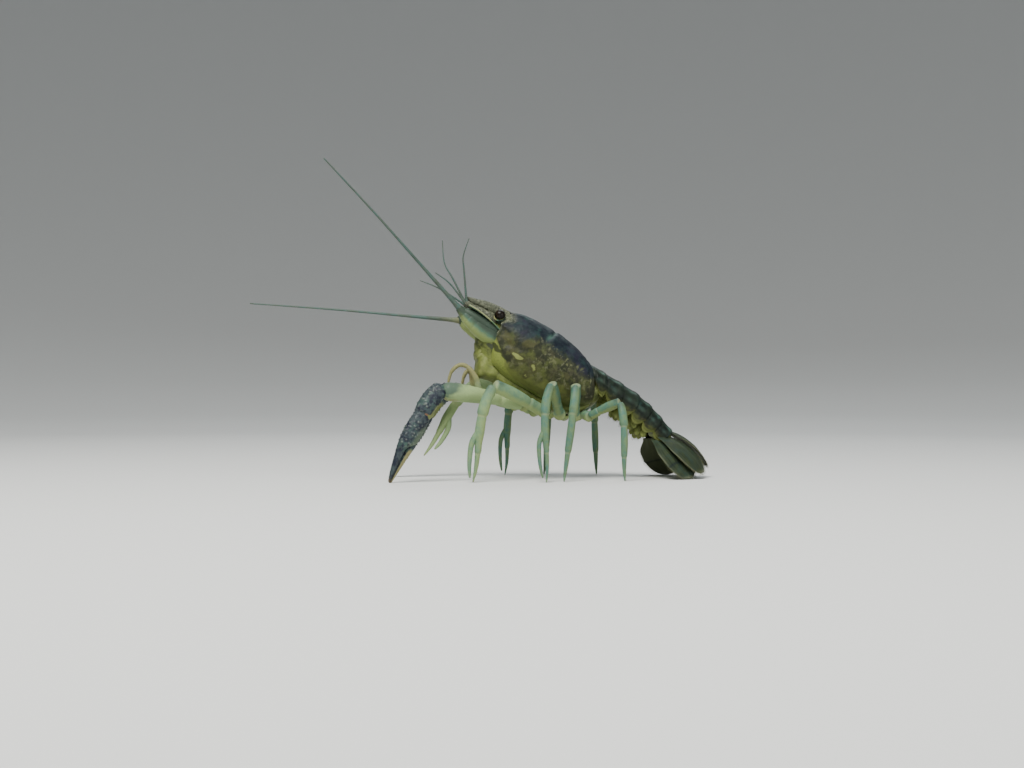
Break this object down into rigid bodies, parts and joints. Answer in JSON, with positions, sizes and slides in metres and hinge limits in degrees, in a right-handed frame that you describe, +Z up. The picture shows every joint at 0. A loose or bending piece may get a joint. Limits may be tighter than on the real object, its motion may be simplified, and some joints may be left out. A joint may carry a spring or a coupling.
{
  "type": "everglades crayfish",
  "caption": "Still, life-size blue crayfish standing on a floor with its front raised, slender claws reaching down in front, long feelers and a spread tail fan.",
  "frame": {"origin": "on the floor, under the middle of the overall box", "axes": "+X towards the tail, so the animal faces -X; +Y to its right, so its left side faces -Y; +Z up"},
  "size_m": [0.1197, 0.0384, 0.0807],
  "materials": {
    "shell": "satin slate-blue shell with a teal sheen, mottled cream and olive on the sides",
    "underside": "soft olive yellow-green",
    "limb": "satin pale teal, yellower below",
    "claw": "satin dark blue-violet with pale tubercles",
    "feeler": "satin teal-grey, finely ringed",
    "fan": "satin dark green-grey with a pale rim and rays",
    "eye": "polished dark brown-black"
  },
  "bodies": {
    "root": {"carapace": "shell", "thorax_underside": "underside", "pleon_1": "shell", "pleon_2": "shell", "pleon_3": "shell", "pleon_4": "shell", "pleon_5": "shell", "pleon_6": "shell", "telson": "fan", "uropod_inner_left": "fan", "uropod_inner_right": "fan", "uropod_outer_left": "fan", "uropod_outer_right": "fan", "eye_left": "eye", "eye_right": "eye", "eyestalk_left": "limb", "eyestalk_right": "limb", "antenna_base_left": "limb", "antenna_base_right": "limb", "antenna_left": "feeler", "antenna_right": "feeler", "antennal_scale_left": "limb", "antennal_scale_right": "limb", "antennule_left": "feeler", "antennule_right": "feeler", "maxilliped_left": "limb", "maxilliped_right": "limb", "claw_arm_left": "limb", "claw_arm_right": "limb", "claw_wrist_left": "claw", "claw_wrist_right": "claw", "claw_palm_left": "claw", "claw_palm_right": "claw", "claw_finger_left": "claw", "claw_finger_right": "claw", "leg_2_left_upper": "limb", "leg_2_left_lower": "limb", "leg_2_right_upper": "limb", "leg_2_right_lower": "limb", "leg_3_left_upper": "limb", "leg_3_left_lower": "limb", "leg_3_right_upper": "limb", "leg_3_right_lower": "limb", "leg_4_left_upper": "limb", "leg_4_left_lower": "limb", "leg_4_right_upper": "limb", "leg_4_right_lower": "limb", "leg_5_left_upper": "limb", "leg_5_left_lower": "limb", "leg_5_right_upper": "limb", "leg_5_right_lower": "limb"}
  },
  "joints": []
}
